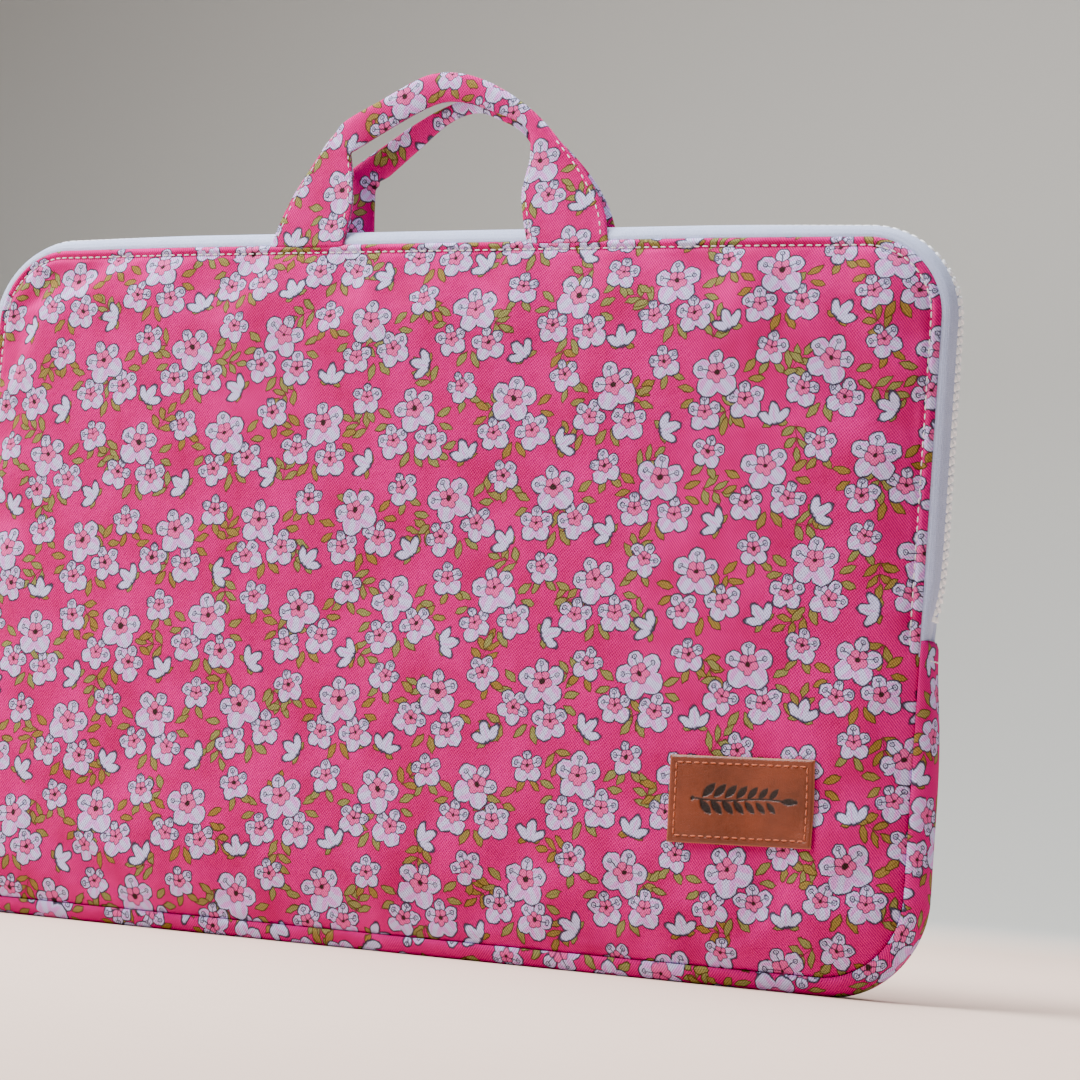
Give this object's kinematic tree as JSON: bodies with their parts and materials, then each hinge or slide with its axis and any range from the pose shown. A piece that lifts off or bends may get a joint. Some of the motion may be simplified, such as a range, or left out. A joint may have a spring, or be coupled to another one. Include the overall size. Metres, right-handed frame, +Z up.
{
  "type": "laptop sleeve",
  "caption": "Padded fabric laptop sleeve with a wrap-round zip, a folding front, two strap handles and a leather label.",
  "frame": {"origin": "middle of the flat strip of the bottom edge band that the sleeve stands on", "axes": "+X to the right of someone facing the front, +Y to the back, +Z up"},
  "size_m": [0.3937, 0.0296, 0.3141],
  "materials": {
    "print_cloth": "printed cotton twill",
    "foam": "soft padding",
    "lining_cloth": "plain woven lining",
    "binding_tape": "folded seam tape",
    "white_thread": "twisted thread",
    "zip_tape": "ribbed woven tape",
    "zip_teeth": "moulded, satin",
    "slider_metal": "satin nickel",
    "label_leather": "vegetable tanned, smooth",
    "tan_thread": "waxed thread"
  },
  "bodies": {
    "sleeve": {"front_shell_lower": "print_cloth", "front_padding_lower": "foam", "front_lining_lower": "lining_cloth", "front_binding_lower": "binding_tape", "back_shell": "print_cloth", "back_padding": "foam", "back_lining": "lining_cloth", "back_binding": "binding_tape", "back_topstitch": "white_thread", "gusset_shell": "print_cloth", "gusset_padding": "foam", "gusset_lining": "lining_cloth", "gusset_end_stitches": "white_thread", "back_zip_tape": "zip_tape", "back_zip_teeth": "zip_teeth", "back_zip_stops": "zip_teeth", "leather_label": "label_leather", "label_stitching": "tan_thread"},
    "front_flap": {"front_shell_upper": "print_cloth", "front_padding_upper": "foam", "front_lining_upper": "lining_cloth", "front_binding_upper": "binding_tape", "front_topstitch": "white_thread", "front_zip_tape": "zip_tape", "front_zip_teeth": "zip_teeth", "front_zip_stops": "zip_teeth"},
    "front_handle_strap": {"front_handle": "print_cloth"},
    "back_handle_strap": {"back_handle": "print_cloth"},
    "slider": {"zip_slider": "slider_metal"},
    "slider_pull": {"pull_tab": "slider_metal"}
  },
  "joints": [
    {"name": "mouth_open", "type": "hinge", "parent": "sleeve", "child": "front_flap", "pos_m": [0, -0.014, 0.115], "axis": [1, 0, 0], "range_deg": [0, 60], "stiffness_Nm_per_rad": 0.05},
    {"name": "front_handle_fold", "type": "hinge", "parent": "front_flap", "child": "front_handle_strap", "pos_m": [0, -0.011, 0.2526], "axis": [1, 0, 0], "range_deg": [0, 150]},
    {"name": "back_handle_fold", "type": "hinge", "parent": "sleeve", "child": "back_handle_strap", "pos_m": [0, 0.011, 0.2526], "axis": [-1, 0, 0], "range_deg": [0, 150]},
    {"name": "slider_travel", "type": "slide", "parent": "sleeve", "child": "slider", "axis": [0, 0, 1], "range_m": [0, 0.085]},
    {"name": "pull_swing", "type": "hinge", "parent": "slider", "child": "slider_pull", "pos_m": [-0.19695, 0, 0.127], "axis": [0, 1, 0], "range_deg": [0, 165]}
  ]
}
